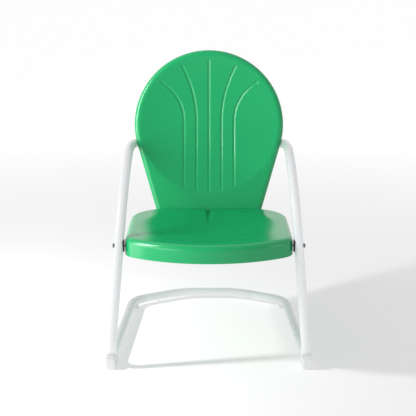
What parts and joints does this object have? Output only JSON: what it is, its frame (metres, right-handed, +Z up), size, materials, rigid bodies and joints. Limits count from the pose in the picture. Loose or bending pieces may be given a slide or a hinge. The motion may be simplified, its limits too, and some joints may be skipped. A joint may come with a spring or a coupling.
{
  "type": "metal patio chair",
  "caption": "Armchair with a stamped steel seat and a round grooved back on a springy cantilever frame of bent tube, for a patio or porch.",
  "frame": {"origin": "on the floor, at the middle of the chair's outer width and depth", "axes": "+Z up, the chair faces -Y, +X to the right as seen from the front"},
  "size_m": [0.5748, 0.6809, 0.8234],
  "materials": {
    "green_paint": "gloss powder coat on steel sheet",
    "white_paint": "satin powder coat on steel tube",
    "white_plastic": "moulded plastic",
    "black_plastic": "moulded plastic",
    "dark_steel": "black zinc plate",
    "zinc_steel": "bright zinc plate"
  },
  "bodies": {
    "root": {"seat_pan": "green_paint", "back_shell": "green_paint", "left_back_bracket": "green_paint", "right_back_bracket": "green_paint", "left_seat_bracket": "green_paint", "right_seat_bracket": "green_paint", "left_side_frame": "white_paint", "right_side_frame": "white_paint", "rear_stretcher": "white_paint", "stretcher_screws": "white_paint", "left_front_shoe": "white_plastic", "right_front_shoe": "white_plastic", "left_rear_glide": "white_plastic", "right_rear_glide": "white_plastic", "left_arm_plug": "white_plastic", "right_arm_plug": "white_plastic", "left_seat_spacer": "black_plastic", "right_seat_spacer": "black_plastic", "seat_leg_bolts": "dark_steel", "seat_leg_washers": "dark_steel", "seat_leg_nuts": "dark_steel", "seat_back_bolts": "zinc_steel", "seat_back_washers": "zinc_steel", "seat_back_nuts": "zinc_steel", "arm_back_bolts": "zinc_steel", "arm_back_washers": "zinc_steel", "arm_back_nuts": "zinc_steel"}
  },
  "joints": []
}
